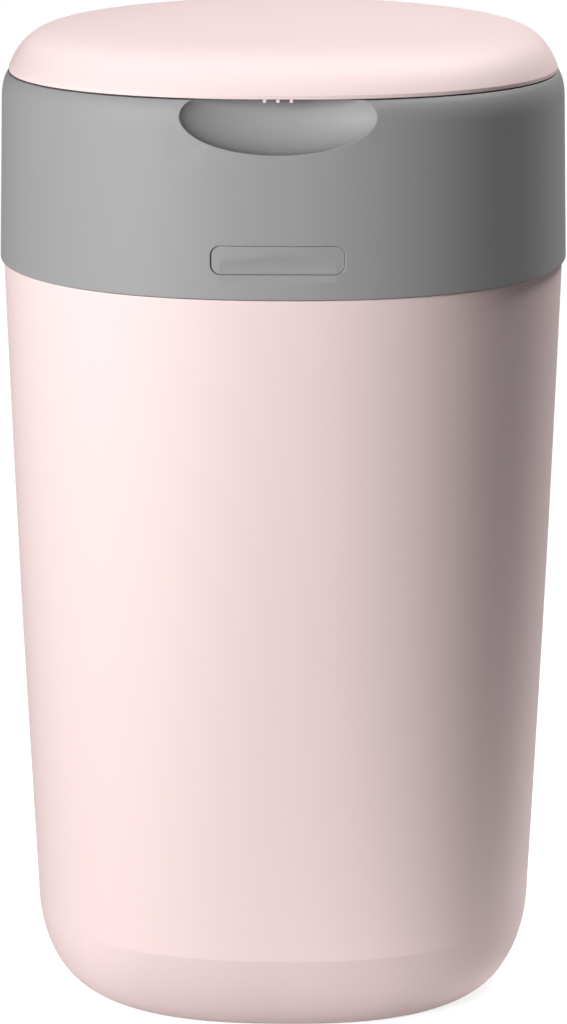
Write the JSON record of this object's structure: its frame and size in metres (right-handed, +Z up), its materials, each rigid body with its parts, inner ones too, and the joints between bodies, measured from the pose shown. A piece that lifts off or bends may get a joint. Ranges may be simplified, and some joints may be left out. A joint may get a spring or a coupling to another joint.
{
  "type": "nappy bin",
  "caption": "Free-standing nappy disposal bin: tapered tub, tipping collar head with a twisting film cassette well and cutter, and a hinged domed lid with a finger scoop.",
  "frame": {"origin": "centre of the footprint, on the floor", "axes": "+Z up, -Y towards the front with the finger scoop, +X to the right seen from the front"},
  "size_m": [0.245, 0.23, 0.4324],
  "materials": {
    "tub_pink": "smooth satin moulded polypropylene, pale pink",
    "lid_pink": "smooth satin moulded polypropylene, pale pink",
    "ring_pink": "smooth satin moulded polypropylene, pale pink",
    "collar_grey": "fine matt moulded polypropylene, mid grey",
    "badge_grey": "fine matt moulded plastic, mid grey, blank",
    "deck_grey": "fine matt moulded polypropylene, light grey",
    "well_grey": "fine matt moulded polypropylene, pale grey",
    "clutch_plastic": "flexible moulded plastic, soft coral",
    "cassette_white": "thin moulded polypropylene, off-white",
    "film": "thin polyethylene film gathered in folds, pale blue-white",
    "liner_white": "moulded polypropylene, pale grey white",
    "seal_rubber": "soft dark grey seal",
    "steel": "bright steel"
  },
  "bodies": {
    "tub": {"tub": "tub_pink", "head_hinge_pin": "steel"},
    "head": {"collar": "collar_grey", "badge_panel": "badge_grey", "deck": "deck_grey", "deck_screws": "steel", "cassette_well": "well_grey", "well_screws": "steel", "clutch_ring": "clutch_plastic", "clutch_screws": "steel", "cutter_guide": "deck_grey", "cutter_guide_screws": "steel", "detent_cap": "deck_grey", "detent_spring": "steel", "lid_hinge_pin": "steel"},
    "lid": {"lid_shell": "lid_pink", "lid_liner": "liner_white", "lid_screws": "steel", "lid_seal": "seal_rubber", "lid_tongue": "lid_pink"},
    "twister": {"cassette_carrier": "well_grey", "twist_ring": "ring_pink", "cassette_body": "cassette_white", "cassette_cap": "cassette_white", "film_pack": "film"},
    "plunger": {"detent_plunger": "cassette_white"},
    "cutter": {"cutter_slider": "clutch_plastic", "cutter_blade": "steel"}
  },
  "joints": [
    {"name": "head_hinge", "type": "hinge", "parent": "tub", "child": "head", "pos_m": [0, 0.1141, 0.33], "axis": [-1, 0, 0], "range_deg": [0, 95]},
    {"name": "lid_hinge", "type": "hinge", "parent": "head", "child": "lid", "pos_m": [0, 0.11017, 0.41], "axis": [-1, 0, 0], "range_deg": [0, 100]},
    {"name": "twist", "type": "hinge", "parent": "head", "child": "twister", "pos_m": [0, 0, 0.396], "axis": [0, 0, 1], "continuous": true},
    {"name": "click", "type": "slide", "parent": "head", "child": "plunger", "axis": [0, 0, 1], "range_m": [-0.001, 0], "stiffness_N_per_m": 400, "springref_m": 0.004, "deforming": ["detent_spring"]},
    {"name": "cutter_slide", "type": "slide", "parent": "head", "child": "cutter", "axis": [1, 0, 0], "range_m": [0, 0.0185]}
  ]
}
